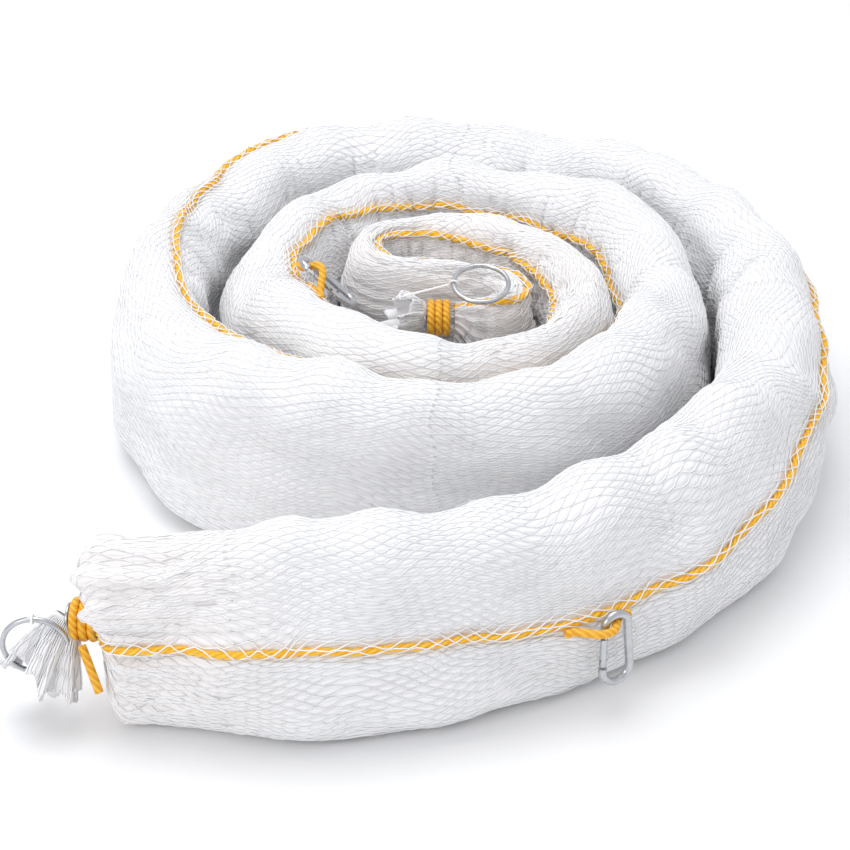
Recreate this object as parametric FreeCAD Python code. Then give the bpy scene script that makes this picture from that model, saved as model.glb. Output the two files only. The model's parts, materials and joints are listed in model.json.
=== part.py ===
import FreeCAD, Part
import math
import os

# Sorbent boom, about 3.5 m of a 12 to 13 cm sausage, rolled up flat on the floor. Millimetres, +Z up.
# A knitted net sleeve holds a fleece sock packed with fibre. A rope runs along it under the net, each
# end is gathered into a tied neck with a steel ring, and a snap hook hangs on the rope near each end.
# The route is followed from the inner neck outwards, and the section stands upright on its edge.

Vector = FreeCAD.Vector
Rotation = FreeCAD.Rotation
Placement = FreeCAD.Placement
os.makedirs("parts", exist_ok=True)

# --- driving dimensions -------------------------------------------------------------------------
BOOM_HEIGHT = 142.0        # standing height of the packed section
BOOM_WIDTH = 76.0          # its width where one turn presses on the next
TAIL_WIDTH = 90.0          # its width where nothing presses on the outside
SLACK_WIDTH = 56.0         # inner turn, which holds no fibre
SLACK_HEIGHT = 136.0
RETURN_WIDTH = 42.0        # where the slack end doubles back
RETURN_HEIGHT = 130.0
RETURN_OPENING = 13.0      # inner radius of that bend
FOLD_WIDTH = 36.0          # last fold before the inner neck
FOLD_HEIGHT = 122.0
FOLD_OPENING = 8.0         # inner radius of the last fold
CORNER_SHARE = 0.5         # lower corner radius as a share of the width's half

TURN_GAP = 2.0             # air between one packed turn and the next
PITCH = BOOM_WIDTH + TURN_GAP
COIL_RADIUS = 139.0        # centreline radius of the first packed quarter turn
LOOSE_GROWTH = 22.5        # growth to the sixth quarter, which lies looser
LAST_GROWTH = 17.0         # growth from there to the seventh
COIL_CENTRE = Vector(8.5, 112.5, 0)
SLACK_GAP = 12.0           # air between the slack inner turn and the first packed turn

SHOULDER_LENGTH = 16.0     # where the fibre ends at the inner side
WIDEN_LENGTH = 32.9        # straight side, from the pressed width to the tail's width
BEND_RADIUS = 341.1        # tail, first bend
BEND_TURN = 52.0
TAIL_RADIUS = 420.0        # tail, second bend
TAIL_TURN = 42.0
OUTER_SLACK_LENGTH = 62.0  # empty sleeve beyond the fibre at the outer end
OUTER_SLACK_WIDTH = 80.0
OUTER_SLACK_HEIGHT = 134.0
CONE_LENGTH = 24.0         # from the sleeve to the tied neck
NECK_RADIUS = 9.0
NECK_LENGTH = 26.0
OUTER_NECK_HEIGHT = 72.0   # height of the neck's axis
INNER_NECK_HEIGHT = 104.0

NET_THICKNESS = 1.2
SOCK_THICKNESS = 0.8
LAYER_GAP = 0.2

ROPE_RADIUS = 3.0
ROPE_GAP = 0.3             # rope to sleeve
ROPE_SLACK = 3.0           # further off where the section changes along a straight
TIE_TURNS = 3
TIE_SPACING = 6.2
CLIP_WIRE = 1.2            # radius of the neck clip's wire
FRILL_LENGTH = 20.0
FRILL_WIDTH = 22.0
FRILL_HEIGHT = 52.0
STUB_LENGTH = 34.0         # free end of the rope beyond the outer tie

RING_WIRE = 2.0            # radius of the ring's wire
RING_BORE = 20.0           # inner radius of the ring
STRAND_RADIUS = 0.8
STRAND_GAP = 0.4           # strand loop to ring wire

HOOK_LENGTH = 60.0
HOOK_WIRE = 3.0            # radius of the hook's wire
HOOK_TOP_BEND = 9.2        # centreline radii of the hook's two bends
HOOK_LOW_BEND = 11.0
GATE_RADIUS = 2.5
GATE_PIVOT_DROP = 26.5     # pivot below the rope's centre
GATE_FOOT = 2.2            # gate below its pivot
GATE_SHORT = 2.6           # gate's tip below the top bend's centre
HOOK_DROP = 2.0            # top bend's centre below the rope's line
TONGUE_THICKNESS = 2.0
SLOT_CLEARANCE = 0.2
PIN_RADIUS = 1.0
PIN_CLEARANCE = 0.05
HOOK_STAND_OFF = 6.5       # hook's plane to the rope's straight line
BIGHT_GAP = 0.3            # between the ends of the bight in a hook and the rope


# --- route --------------------------------------------------------------------------------------
def direction(heading):
    """Unit vector of a heading in degrees, counter-clockwise from +X."""
    a = math.radians(heading)
    return Vector(math.cos(a), math.sin(a), 0)


def outward(heading):
    """Unit vector to the left of the heading, which is the coil's outer side."""
    return direction(heading + 90)


class Stretch:
    """One arc (radius, turn) or straight (length) of the route, with the sections at its two ends."""

    def __init__(self, start, heading, radius, turn, length, first, last):
        self.start, self.heading, self.radius, self.turn = start, heading, radius, turn
        self.first, self.last = first, last
        self.length = length if radius is None else radius * math.radians(abs(turn))
        if radius is not None:
            side = 1 if turn > 0 else -1
            self.centre = start + outward(heading) * (radius * side)

    def at(self, share):
        """Point and heading at a share of the stretch."""
        if self.radius is None:
            return self.start + direction(self.heading) * (self.length * share), self.heading
        heading = self.heading + self.turn * share
        side = 1 if self.turn > 0 else -1
        return self.centre - outward(heading) * (self.radius * side), heading

    def end(self):
        return self.at(1.0)


# A section is (width, low z, high z).
NECK_OUT = (2 * NECK_RADIUS, OUTER_NECK_HEIGHT - NECK_RADIUS, OUTER_NECK_HEIGHT + NECK_RADIUS)
NECK_IN = (2 * NECK_RADIUS, INNER_NECK_HEIGHT - NECK_RADIUS, INNER_NECK_HEIGHT + NECK_RADIUS)
FOLD = (FOLD_WIDTH, 0.0, FOLD_HEIGHT)
RETURN = (RETURN_WIDTH, 0.0, RETURN_HEIGHT)
SLACK = (SLACK_WIDTH, 0.0, SLACK_HEIGHT)
PACKED = (BOOM_WIDTH, 0.0, BOOM_HEIGHT)
TAIL = (TAIL_WIDTH, 0.0, BOOM_HEIGHT)
OUTER_SLACK = (OUTER_SLACK_WIDTH, 0.0, OUTER_SLACK_HEIGHT)


def lay_route():
    """Name to Stretch, from the inner neck outwards. The packed coil's place fixes the rest."""
    quarter = PITCH / 4
    fold_radius = FOLD_OPENING + FOLD_WIDTH / 2
    return_radius = RETURN_OPENING + RETURN_WIDTH / 2
    # The slack turn ends level with the packed coil's innermost face, one gap inside the next turn.
    front_y = COIL_CENTRE.y - COIL_RADIUS
    right_x = COIL_CENTRE.x + COIL_RADIUS + 3 * quarter - BOOM_WIDTH / 2 - SLACK_GAP - SLACK_WIDTH / 2
    second = right_x - (COIL_CENTRE.x + SHOULDER_LENGTH)
    top_y = COIL_CENTRE.y + COIL_RADIUS + quarter - BOOM_WIDTH / 2 - SLACK_GAP - SLACK_WIDTH / 2
    first = top_y - (front_y + second)
    back = Vector(right_x - first, top_y, 0)
    # The doubled end goes as far as the inner face of the second quarter lets its round end.
    room = (COIL_RADIUS + quarter - BOOM_WIDTH / 2) - TURN_GAP - (return_radius + RETURN_WIDTH / 2)
    rise = top_y - return_radius - COIL_CENTRE.y
    return_x = COIL_CENTRE.x + quarter - math.sqrt(room ** 2 - rise ** 2)
    back_run = back.x - return_x
    # The last fold goes as far the other way as the slack turn's inner face lets it.
    run_y = top_y - 2 * return_radius
    room = first - SLACK_WIDTH / 2 - TURN_GAP - (fold_radius + FOLD_WIDTH / 2)
    rise = run_y - fold_radius - (top_y - first)
    fold_x = back.x + math.sqrt(room ** 2 - rise ** 2)
    fold_run = fold_x - return_x
    neck = Vector(fold_x - CONE_LENGTH, run_y - 2 * fold_radius, 0)

    plan = [
        ("inner_cone", None, 0, CONE_LENGTH, NECK_IN, FOLD),
        ("fold", fold_radius, 180, 0, FOLD, FOLD),
        ("fold_run", None, 0, fold_run, FOLD, RETURN),
        ("return", return_radius, -180, 0, RETURN, RETURN),
        ("back_run", None, 0, back_run, RETURN, SLACK),
        ("slack_1", first, -90, 0, SLACK, SLACK),
        ("slack_2", second, -90, 0, SLACK, SLACK),
        ("shoulder", None, 0, SHOULDER_LENGTH, SLACK, PACKED),
    ]
    for i in range(5):
        plan.append(("turn_%d" % (i + 1), COIL_RADIUS + i * quarter, -90, 0, PACKED, PACKED))
    last = COIL_RADIUS + 4 * quarter
    plan += [
        ("turn_6", last + LOOSE_GROWTH, -90, 0, PACKED, PACKED),
        ("turn_7", last + LOOSE_GROWTH + LAST_GROWTH, -90, 0, PACKED, PACKED),
        ("widen", None, 0, WIDEN_LENGTH, PACKED, TAIL),
        ("bend", BEND_RADIUS, -BEND_TURN, 0, TAIL, TAIL),
        ("tail", TAIL_RADIUS, -TAIL_TURN, 0, TAIL, TAIL),
        ("outer_slack", None, 0, OUTER_SLACK_LENGTH, TAIL, OUTER_SLACK),
        ("outer_cone", None, 0, CONE_LENGTH, OUTER_SLACK, NECK_OUT),
    ]
    route = {}
    point, heading = neck, 0.0
    for name, radius, turn, length, first_section, last_section in plan:
        stretch = Stretch(point, heading, radius, turn, length, first_section, last_section)
        route[name] = stretch
        point, heading = stretch.end()
    return route


ROUTE = lay_route()


# --- boom layers --------------------------------------------------------------------------------
def section_wire(point, heading, section, inset):
    """Closed outline: flat foot, rounded lower corners, straight sides and a round top."""
    width, low, high = section
    half = width / 2 - inset
    low, high = low + inset, high - inset
    corner = min(width / 2 * CORNER_SHARE, (high - low) / 4)
    side = outward(heading)

    def p(n, z):
        return point + side * n + Vector(0, 0, z)

    bend = corner * (1 - math.sqrt(0.5))
    crown = high - half
    crown_x, crown_z = half * math.sqrt(0.5), crown + half * math.sqrt(0.5)
    edges = [
        Part.LineSegment(p(-half + corner, low), p(half - corner, low)),
        Part.Arc(p(half - corner, low), p(half - bend, low + bend), p(half, low + corner)),
        Part.LineSegment(p(half, low + corner), p(half, crown)),
        Part.Arc(p(half, crown), p(crown_x, crown_z), p(0, high)),
        Part.Arc(p(0, high), p(-crown_x, crown_z), p(-half, crown)),
        Part.LineSegment(p(-half, crown), p(-half, low + corner)),
        Part.Arc(p(-half, low + corner), p(-half + bend, low + bend), p(-half + corner, low)),
    ]
    return Part.Wire([e.toShape() for e in edges])


def solid_stretch(stretch, inset):
    """The space inside a stretch's outline, brought in by inset."""
    if stretch.radius is None:
        point, heading = stretch.end()
        wires = [section_wire(stretch.start, stretch.heading, stretch.first, inset),
                 section_wire(point, heading, stretch.last, inset)]
        return Part.makeLoft(wires, True, True)
    face = Part.Face(section_wire(stretch.start, stretch.heading, stretch.first, inset))
    return face.revolve(stretch.centre, Vector(0, 0, 1), stretch.turn)


def layer_stretch(stretch, outer, inner):
    """A tube between two insets. An arc turns a pierced face, and a straight is cut."""
    if stretch.radius is None:
        return solid_stretch(stretch, outer).cut(solid_stretch(stretch, inner))
    rim = Part.Face(section_wire(stretch.start, stretch.heading, stretch.first, outer))
    hole = Part.Face(section_wire(stretch.start, stretch.heading, stretch.first, inner))
    face = rim.cut(hole).Faces[0]
    return face.revolve(stretch.centre, Vector(0, 0, 1), stretch.turn)


def joined(shapes):
    """One solid from shapes that meet face to face: the faces that two of them share are left out."""
    faces = [(face, face.CenterOfMass, face.Area) for shape in shapes for face in shape.Faces]
    outside = []
    for i, (face, centre, area) in enumerate(faces):
        twins = [j for j, (_, other, size) in enumerate(faces)
                 if j != i and centre.distanceToPoint(other) < 0.001 and abs(area - size) < 0.01]
        if not twins:
            outside.append(face)
    skin = Part.makeCompound(outside)
    skin.sewShape()
    solid = Part.makeSolid(skin.Shells[0])
    if solid.Volume < 0:
        solid.reverse()
    return solid


SOCK_INSET = NET_THICKNESS + LAYER_GAP
CORE_INSET = SOCK_INSET + SOCK_THICKNESS + LAYER_GAP
SLEEVE_STRETCHES = [
    ("inner_cone", "fold"), ("fold_run", "return"), ("back_run", "slack_1"), ("slack_2", "shoulder"),
    ("turn_1",), ("turn_2",), ("turn_3",), ("turn_4",), ("turn_5",), ("turn_6",),
    ("turn_7", "widen"), ("bend",), ("tail",), ("outer_slack", "outer_cone"),
]
PACKED_STRETCHES = ["turn_%d" % (i + 1) for i in range(7)] + ["widen", "bend", "tail"]

nodes = {}
places = {}                # name to (point, direction), printed in the exported frame


def neck_rod(stretch, at_start, height):
    """Bunched sleeve that the tie grips, and the direction it points in."""
    point, heading = stretch.at(0.0 if at_start else 1.0)
    axis = direction(heading) * (-1 if at_start else 1)
    base = point + Vector(0, 0, height)
    return Part.makeCylinder(NECK_RADIUS - ROPE_GAP, NECK_LENGTH, base, axis), base, axis


inner_rod, inner_neck, inner_axis = neck_rod(ROUTE["inner_cone"], True, INNER_NECK_HEIGHT)
outer_rod, outer_neck, outer_axis = neck_rod(ROUTE["outer_cone"], False, OUTER_NECK_HEIGHT)

for number, names in enumerate(SLEEVE_STRETCHES):
    sleeve = joined([layer_stretch(ROUTE[n], 0.0, NET_THICKNESS) for n in names])
    if names[0] == "inner_cone":
        sleeve = sleeve.fuse(inner_rod)
    if names[-1] == "outer_cone":
        sleeve = sleeve.fuse(outer_rod)
    nodes["net_sleeve_%02d" % (number + 1)] = sleeve

sock_names = [n for names in SLEEVE_STRETCHES for n in names if not n.endswith("cone")]
nodes["inner_sock"] = joined([layer_stretch(ROUTE[n], SOCK_INSET, SOCK_INSET + SOCK_THICKNESS)
                              for n in sock_names])
nodes["sorbent_core"] = joined([solid_stretch(ROUTE[n], CORE_INSET) for n in PACKED_STRETCHES])


# --- round pieces along a path ------------------------------------------------------------------
def rounded_path(points):
    """Straight runs joined by tangent arcs, each as large as its two runs allow."""
    edges = []
    last = points[0]
    for i in range(1, len(points) - 1):
        corner = points[i]
        back = points[i - 1] - corner
        ahead = points[i + 1] - corner
        reach = 0.45 * min(back.Length, ahead.Length)
        back.normalize()
        ahead.normalize()
        turn = math.pi - back.getAngle(ahead)
        radius = reach / math.tan(turn / 2)
        start, end = corner + back * reach, corner + ahead * reach
        middle = back + ahead
        middle.normalize()
        apex = corner + middle * (radius / math.cos(turn / 2) - radius)
        edges.append(Part.LineSegment(last, start).toShape())
        edges.append(Part.Arc(start, apex, end).toShape())
        last = end
    edges.append(Part.LineSegment(last, points[-1]).toShape())
    return edges


def tube(edges, radius):
    """Round bar along tangent edges."""
    path = Part.Wire(edges)
    first = edges[0]
    start = first.valueAt(first.FirstParameter)
    tangent = first.tangentAt(first.FirstParameter)
    circle = Part.Wire([Part.makeCircle(radius, start, tangent)])
    return path.makePipeShell([circle], True, False)


def mixed(first, last, share):
    """Section between two sections."""
    return tuple(a + (b - a) * share for a, b in zip(first, last))


def rope_place(section, girth, lift=0.0):
    """Offset and height of the rope's centre on a section. girth is how far round the outline it
    lies from the crown, positive on the coil's outer side."""
    width, low, high = section
    reach = width / 2 + ROPE_RADIUS + ROPE_GAP + lift
    a = min(abs(girth) / reach, math.pi / 2)
    drop = max(abs(girth) - reach * math.pi / 2, 0.0)
    return (math.copysign(reach * math.sin(a), girth),
            high - width / 2 + reach * math.cos(a) - drop)


def girth_down_to(section, height):
    """Girth of a height on the outer side."""
    width, low, high = section
    return (width / 2 + ROPE_RADIUS + ROPE_GAP) * math.pi / 2 + high - width / 2 - height


def rope_vertices(name, first_girth, last_girth, steps, skip=()):
    """Corners of the rope's path round one stretch: a polygon that just clears the sleeve."""
    stretch = ROUTE[name]
    corners = []
    for i in range(steps):
        if i in skip:
            continue
        share = (i + 0.5) / steps
        point, heading = stretch.at(share)
        section = mixed(stretch.first, stretch.last, share)
        # Half the angle that one run goes round the crown sets how far its ends stand off.
        half_angle = (last_girth - first_girth) / steps / section[0]
        lift = (section[0] / 2 + ROPE_RADIUS) * (1 / math.cos(half_angle) - 1)
        if stretch.radius is None:
            lift += ROPE_SLACK
        n, z = rope_place(section, first_girth + (last_girth - first_girth) * share, lift)
        if stretch.radius is not None:
            side = 1 if stretch.turn > 0 else -1
            grow = 1 / math.cos(math.radians(stretch.turn / steps / 2)) - 1
            n += (n - side * stretch.radius) * grow
        corners.append(point + outward(heading) * n + Vector(0, 0, z))
    return corners


# --- snap hooks ---------------------------------------------------------------------------------
# Own frame: origin on the rope's line, X along that line with the spine on its + side, Z towards the
# hook's top, and the hook's plane HOOK_STAND_OFF towards -Y, away from the sleeve.
LOW_CENTRE = HOOK_TOP_BEND + HOOK_WIRE - HOOK_LENGTH + HOOK_WIRE + HOOK_LOW_BEND
TAPER = math.asin((HOOK_LOW_BEND - HOOK_TOP_BEND) / -LOW_CENTRE)


def hook_point(x, z):
    return Vector(x, -HOOK_STAND_OFF, z - HOOK_DROP)


def gate_side(z):
    """Point on the straight between the bends on the gate's side."""
    top_x = -HOOK_TOP_BEND * math.cos(TAPER)
    top_z = HOOK_TOP_BEND * math.sin(TAPER)
    return hook_point(top_x + (z - top_z) * math.tan(TAPER), z)


GATE_PIVOT = gate_side(-GATE_PIVOT_DROP)
GATE_AXIS = (gate_side(0) - gate_side(-1)).normalize()
GATE_ACROSS = GATE_AXIS.cross(Vector(0, 1, 0))
GATE_LENGTH = GATE_PIVOT_DROP - GATE_SHORT      # from its pivot to its tip
GATE_TIP = GATE_PIVOT + GATE_AXIS * GATE_LENGTH


def slab(centre, along, length, width, thickness):
    """Block centred on a point, its length along a direction in the hook's plane."""
    box = Part.makeBox(width, thickness, length, Vector(-width / 2, -thickness / 2, -length / 2))
    box.Placement = Placement(centre, Rotation(Vector(0, 0, 1), along))
    return box


def hook_body():
    """Bent wire from the gate's pivot round both bends to the nose, with a tongue at each end."""
    c, s = math.cos(TAPER), math.sin(TAPER)
    low_end = GATE_PIVOT - GATE_AXIS * (GATE_FOOT + 2.0)
    edges = [
        Part.LineSegment(low_end, hook_point(-HOOK_LOW_BEND * c, LOW_CENTRE + HOOK_LOW_BEND * s)),
        Part.Arc(hook_point(-HOOK_LOW_BEND * c, LOW_CENTRE + HOOK_LOW_BEND * s),
                 hook_point(0, LOW_CENTRE - HOOK_LOW_BEND),
                 hook_point(HOOK_LOW_BEND * c, LOW_CENTRE + HOOK_LOW_BEND * s)),
        Part.LineSegment(hook_point(HOOK_LOW_BEND * c, LOW_CENTRE + HOOK_LOW_BEND * s),
                         hook_point(HOOK_TOP_BEND * c, HOOK_TOP_BEND * s)),
        Part.Arc(hook_point(HOOK_TOP_BEND * c, HOOK_TOP_BEND * s),
                 hook_point(0, HOOK_TOP_BEND),
                 hook_point(-HOOK_TOP_BEND * c, HOOK_TOP_BEND * s)),
    ]
    wire = tube([e.toShape() for e in edges], HOOK_WIRE)
    low_tongue = slab((low_end + GATE_PIVOT) * 0.5 - GATE_AXIS, GATE_AXIS,
                      (GATE_PIVOT - low_end).Length + 2.0, 3.8, TONGUE_THICKNESS)
    knuckle = Part.makeCylinder(1.9, TONGUE_THICKNESS, GATE_PIVOT - Vector(0, TONGUE_THICKNESS / 2, 0),
                                Vector(0, 1, 0))
    nose_top = gate_side(HOOK_TOP_BEND * s)
    nose_tip = GATE_TIP - GATE_AXIS * 3.4
    nose = slab((nose_top + nose_tip) * 0.5 + GATE_AXIS * 0.5, GATE_AXIS,
                (nose_top - nose_tip).Length + 1.0, 2.6, TONGUE_THICKNESS)
    cross_bar = Part.makeCylinder(0.9, 4.6, nose_tip - Vector(0, 2.3, 0), Vector(0, 1, 0))
    body = wire.fuse([low_tongue, knuckle, nose, cross_bar])
    hole = Part.makeCylinder(PIN_RADIUS, 8, GATE_PIVOT - Vector(0, 4, 0), Vector(0, 1, 0))
    return body.cut(hole)


def hook_gate():
    """Round bar, slotted at its foot for the tongue and at its tip for the nose, hollow in between."""
    bar = Part.makeCylinder(GATE_RADIUS, GATE_LENGTH + GATE_FOOT, GATE_PIVOT - GATE_AXIS * GATE_FOOT, GATE_AXIS)
    slot = TONGUE_THICKNESS + 2 * SLOT_CLEARANCE
    foot_slot = slab(GATE_PIVOT + GATE_AXIS * 0.4, GATE_AXIS, 2 * 3.0, 8.0, slot)
    tip_slot = slab(GATE_TIP - GATE_AXIS * 2.4, GATE_AXIS, 6.0, 8.0, slot)
    notch = slab(GATE_TIP - GATE_AXIS * 3.4 - GATE_ACROSS * -2.0, GATE_AXIS, 2.4, 6.4, 8.0)
    holes = Part.makeCylinder(PIN_RADIUS + PIN_CLEARANCE, 8, GATE_PIVOT - Vector(0, 4, 0),
                              Vector(0, 1, 0))
    bore = Part.makeCylinder(1.1, 11.0, GATE_PIVOT + GATE_AXIS * 2.0, GATE_AXIS)
    return bar.cut([foot_slot, tip_slot, notch, holes, bore])


def hook_pin():
    return Part.makeCylinder(PIN_RADIUS, 2 * GATE_RADIUS - 0.4,
                             GATE_PIVOT - Vector(0, GATE_RADIUS - 0.2, 0), Vector(0, 1, 0))


def hook_spring():
    """Coil spring in the gate's bore, as a thin sleeve of its outline."""
    foot = GATE_PIVOT + GATE_AXIS * 2.2
    outer = Part.makeCylinder(0.9, 10.4, foot, GATE_AXIS)
    return outer.cut(Part.makeCylinder(0.55, 10.4, foot, GATE_AXIS))


def rope_bight(stations):
    """The stretch of rope in the hook, through the eye: (place along the rope's line, lift off it)."""
    return tube(rounded_path([Vector(x, -lift, 0) for x, lift in stations]), ROPE_RADIUS)


def add_hook(prefix, frame, swing, stations):
    """One hook and its bight of rope. swing turns the hook in its own plane about the eye."""
    turned = frame.multiply(Placement(Vector(0, 0, 0), Rotation(Vector(0, 1, 0), swing)))
    pieces = {"hook_body": hook_body(), "hook_gate": hook_gate(), "hook_pin": hook_pin(),
              "hook_spring": hook_spring()}
    for name, shape in pieces.items():
        shape.Placement = turned.multiply(shape.Placement)
        nodes[prefix + "_" + name] = shape
    bight = rope_bight(stations)
    bight.Placement = frame
    nodes[prefix + "_rope_bight"] = bight
    places[prefix + " hook hinge"] = (frame.Base, frame.Rotation.multVec(Vector(1, 0, 0)))
    places[prefix + " gate hinge"] = (turned.multVec(GATE_PIVOT),
                                      turned.Rotation.multVec(Vector(0, 1, 0)))
    places[prefix + " hook eye"] = (turned.multVec(hook_point(0, LOW_CENTRE / 2)),
                                    turned.Rotation.multVec(Vector(0, 1, 0)))


def frame_at(origin, x_axis, z_axis):
    """Placement whose X and Z point along two perpendicular directions."""
    return Placement(origin, Rotation(x_axis, z_axis.cross(x_axis), z_axis, "XZY"))


# Outer hook: on the outer face of the tail, hanging from the rope and leaning out at its foot.
OUTER_HOOK_SHARE = 0.21      # of the tail's second bend
OUTER_ROPE_HEIGHT = 70.0
OUTER_HOOK_LEAN = 4.0
point, heading = ROUTE["tail"].at(OUTER_HOOK_SHARE)
reach = TAIL_WIDTH / 2 + ROPE_RADIUS + ROPE_GAP
outer_hook_origin = point + outward(heading) * reach + Vector(0, 0, OUTER_ROPE_HEIGHT)
outer_hook_x = direction(heading) * -1
lean = Rotation(outer_hook_x, -OUTER_HOOK_LEAN)
outer_hook_frame = frame_at(outer_hook_origin, outer_hook_x, lean.multVec(Vector(0, 0, 1)))
LIFT = 2 * HOOK_STAND_OFF + 1.0
OUTER_BIGHT = [(-36, 0), (-30, 0), (-15, LIFT), (-6, LIFT), (6, 0), (15, 0)]
add_hook("outer", outer_hook_frame, 0.0, OUTER_BIGHT)

# Inner hook: lying on the inner shoulder of the first packed quarter, its foot towards the coil's
# middle. The rope passes behind its top bend, up through the eye and over its spine.
INNER_HOOK_SHARE = 0.84       # of the first packed quarter turn
INNER_HOOK_GIRTH = -29.5      # place round the section from the crown
INNER_HOOK_TOE = 13.0         # rope's line in the hook against the boom's line, towards the middle
INNER_HOOK_LIFT = 5.0         # rope's line above the sleeve there
INNER_HOOK_SWING = -135.0
point, heading = ROUTE["turn_1"].at(INNER_HOOK_SHARE)
offset, height = rope_place(PACKED, INNER_HOOK_GIRTH)
slope = INNER_HOOK_GIRTH / (BOOM_WIDTH / 2 + ROPE_RADIUS + ROPE_GAP)
face_normal = outward(heading) * math.sin(slope) + Vector(0, 0, math.cos(slope))
inner_hook_origin = (point + outward(heading) * offset + Vector(0, 0, height)
                     + face_normal * INNER_HOOK_LIFT)
inner_hook_x = Rotation(face_normal, INNER_HOOK_TOE).multVec(direction(heading) * -1)
inner_hook_frame = frame_at(inner_hook_origin, inner_hook_x, face_normal.cross(inner_hook_x))
INNER_BIGHT = [(-12, 0), (-5.5, 0), (7.5, LIFT), (17, LIFT), (32, 0), (38, 0)]
add_hook("inner", inner_hook_frame, INNER_HOOK_SWING, INNER_BIGHT)


# --- rope ---------------------------------------------------------------------------------------
def bight_end(frame, stations, last, reach=0.0):
    """Just beyond one end of a bight, or a corner that continues its line by reach."""
    place = stations[-1 if last else 0][0]
    side = 1 if last else -1
    return frame.multVec(Vector(place + side * (BIGHT_GAP + reach), 0, 0))


def rope_between(start, corners, end):
    """A length of rope from end to end through its corners."""
    return tube(rounded_path([start] + corners + [end]), ROPE_RADIUS)


TIE_REACH = NECK_RADIUS + ROPE_RADIUS + ROPE_GAP
ROPE_TO_TIE = 1.4             # rope's end beyond the cone
CLIP_GAP = 0.6                # between the tie's last turn and the clip
OUTER_LEAD = 14.0             # rope straight on from the outer hook's bight before it bends
INNER_LEAD_OUT = 10.0         # and from the inner hook's, towards the outer end
INNER_LEAD_IN = 9.0           # and towards the inner end
OUTER_BOW = (5.0, 9.0)        # rope's corner on the outer cone: off the sleeve, below the neck
OUTER_NEAR = (9.0, 4.0, 2.0)  # its corner at the neck: off the tie's line, back from it, below it
INNER_NEAR = (7.0, 5.5)       # rope's corner at the inner neck: back from the tie, above it
INNER_BOW = (18.0, 12.0)      # and on the inner cone
TIE_START = 6.5               # first turn of the tie beyond the cone
CLIP_START = TIE_START + (TIE_TURNS - 1) * TIE_SPACING + ROPE_RADIUS + CLIP_WIRE + CLIP_GAP
TAIL_GIRTH = girth_down_to(TAIL, OUTER_ROPE_HEIGHT)
outer_side = outward(ROUTE["outer_cone"].heading)
inner_side = outward(ROUTE["inner_cone"].heading)

# Outer end: from the tie, along the outer face, to the hook.
outer_tie_start = outer_neck + outer_side * TIE_REACH + outer_axis * ROPE_TO_TIE
corners = [bight_end(outer_hook_frame, OUTER_BIGHT, False, OUTER_LEAD)]
corners += rope_vertices("tail", TAIL_GIRTH, TAIL_GIRTH, 6, skip=(0, 1))
corners += rope_vertices("outer_slack", TAIL_GIRTH, TAIL_GIRTH, 2)
corners += [outer_neck + outer_side * (OUTER_SLACK_WIDTH / 2 + OUTER_BOW[0])
            - outer_axis * (CONE_LENGTH - 1) - Vector(0, 0, OUTER_BOW[1]),
            outer_neck + outer_side * (TIE_REACH + OUTER_NEAR[0]) - outer_axis * OUTER_NEAR[1]
            - Vector(0, 0, OUTER_NEAR[2])]
nodes["tow_rope_outer_end"] = rope_between(bight_end(outer_hook_frame, OUTER_BIGHT, False),
                                           corners, outer_tie_start)

# Between the hooks: inner shoulder, over the crown and on to the outer face.
corners = [bight_end(inner_hook_frame, INNER_BIGHT, False, INNER_LEAD_OUT)]
GIRTHS = [-18, -43, -54, -43, -20, 50, 88]     # at the ends of the quarter turns from turn_1 on
for i in range(6):
    corners += rope_vertices("turn_%d" % (i + 2), GIRTHS[i], GIRTHS[i + 1], 5 if i < 4 else 8)
corners += rope_vertices("widen", 88, 92, 1)
corners += rope_vertices("bend", 92, TAIL_GIRTH, 4)
corners += rope_vertices("tail", TAIL_GIRTH, TAIL_GIRTH, 6, skip=(1, 2, 3, 4, 5))
corners += [bight_end(outer_hook_frame, OUTER_BIGHT, True, OUTER_LEAD)]
nodes["tow_rope"] = rope_between(bight_end(inner_hook_frame, INNER_BIGHT, False), corners,
                                 bight_end(outer_hook_frame, OUTER_BIGHT, True))

# Inner end: from the hook along the slack turn and the fold to the inner tie.
inner_tie_start = inner_neck + Vector(0, 0, TIE_REACH) + inner_axis * ROPE_TO_TIE
corners = [inner_tie_start - inner_axis * back + Vector(0, 0, above)
           for back, above in (INNER_NEAR, INNER_BOW)]
corners += rope_vertices("fold", -14, -17, 5)
corners += rope_vertices("fold_run", -17, -10, 2)
corners += rope_vertices("return", -10, -10, 5)
corners += rope_vertices("back_run", -10, -20, 1)
corners += rope_vertices("slack_1", -20, -32, 4)
corners += rope_vertices("slack_2", -32, -34, 4)
corners += rope_vertices("shoulder", -34, -40, 1)
corners += rope_vertices("turn_1", -42, -36, 6, skip=(4, 5))
corners += [bight_end(inner_hook_frame, INNER_BIGHT, True, INNER_LEAD_IN)]
nodes["tow_rope_inner_end"] = rope_between(inner_tie_start, corners,
                                           bight_end(inner_hook_frame, INNER_BIGHT, True))


# --- gathered ends ------------------------------------------------------------------------------
def hoop(centre, axis, radius, wire):
    return Part.makeTorus(radius, wire, centre, axis)


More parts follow.
